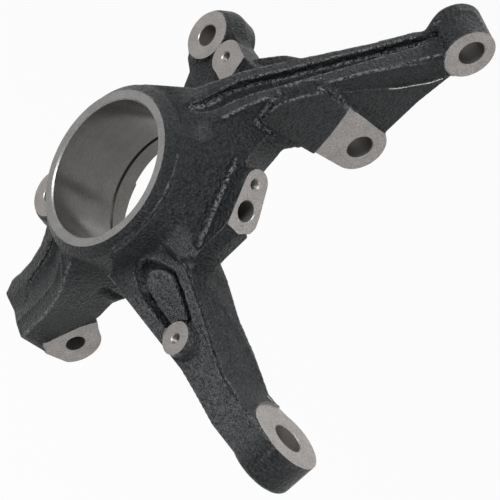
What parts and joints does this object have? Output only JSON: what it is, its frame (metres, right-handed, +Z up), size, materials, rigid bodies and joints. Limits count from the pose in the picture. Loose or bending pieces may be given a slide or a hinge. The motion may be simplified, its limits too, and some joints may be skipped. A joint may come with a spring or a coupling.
{
  "type": "steering knuckle",
  "caption": "Cast steering knuckle for a strut front suspension, with press-in wheel-bearing bore, strut arm, caliper ears, steering arm, sensor boss and pinch socket for a ball joint.",
  "frame": {"origin": "centre of the wheel-bearing bore in the plane of its outboard machined face", "axes": "-Y outboard to the wheel, +Y inboard, +Z up to the strut, +X towards the steering arm"},
  "size_m": [0.2534, 0.136, 0.3049],
  "materials": {
    "casting": "satin dark paint on cast skin, bare metal where machined"
  },
  "bodies": {
    "root": {"knuckle_casting": "casting"}
  },
  "joints": []
}
